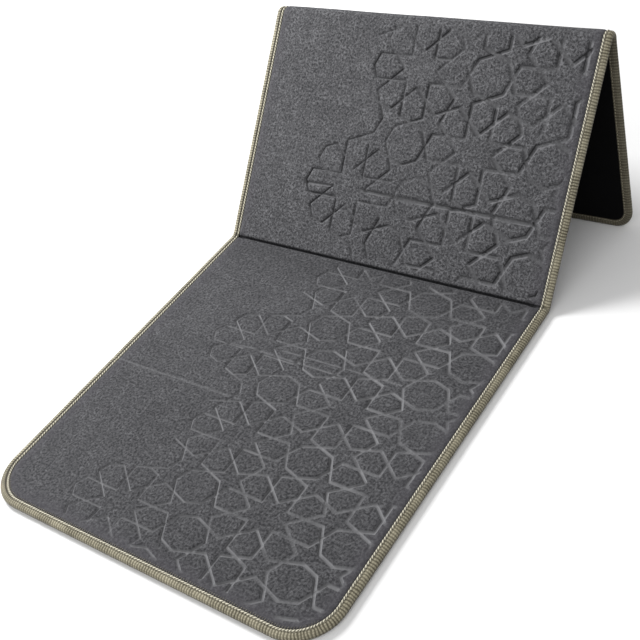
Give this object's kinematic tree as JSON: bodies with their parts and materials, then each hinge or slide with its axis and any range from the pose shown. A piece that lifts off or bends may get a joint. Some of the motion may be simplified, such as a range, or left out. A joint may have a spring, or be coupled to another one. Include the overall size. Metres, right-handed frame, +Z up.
{
  "type": "folded backrest prayer mat",
  "caption": "Padded plush mat folded into a floor seat with a leaning backrest and a support panel behind it, edge bound with tape.",
  "frame": {"origin": "bottom centre of the folded mat's bounding box, on the surface that it rests on", "axes": "+X across the mat to the right of someone facing the backrest, +Y from the seat's front edge towards the support, +Z up"},
  "size_m": [0.5642, 0.7986, 0.2651],
  "materials": {
    "plush": "charcoal short-pile plush over a thin padding, with a pressed pattern",
    "backing": "smooth black backing cloth",
    "tape": "khaki woven binding tape with a slight sheen"
  },
  "bodies": {
    "root": {"plush_pad": "plush", "backing_cloth": "backing", "edge_tape": "tape"}
  },
  "joints": []
}
